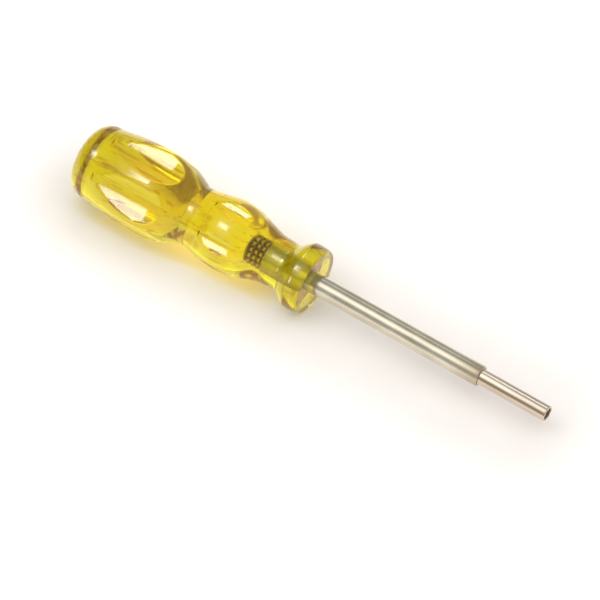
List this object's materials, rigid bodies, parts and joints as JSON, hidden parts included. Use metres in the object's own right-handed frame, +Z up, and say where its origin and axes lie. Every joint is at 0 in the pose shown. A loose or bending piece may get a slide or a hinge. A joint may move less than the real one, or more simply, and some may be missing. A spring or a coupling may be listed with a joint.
{
  "type": "security_screwdriver",
  "caption": "Security screwdriver with a clear yellow fluted handle, a round steel shaft and a thin hollow tip whose splined socket turns tamper-proof screws.",
  "frame": {"origin": "centre of the footprint on the surface the tool lies on", "axes": "+X from butt to tip along the surface, +Z up, +Y across the tool to its left when looking from butt to tip"},
  "size_m": [0.1609, 0.0276, 0.0253],
  "materials": {
    "handle": "clear golden-yellow moulded plastic, glossy, seen through to the tang",
    "shaft": "bright plated steel bar",
    "driver_tip": "satin steel, a little warmer than the shaft"
  },
  "bodies": {
    "root": {"handle": "handle", "shaft": "shaft", "driver_tip": "driver_tip"}
  },
  "joints": []
}
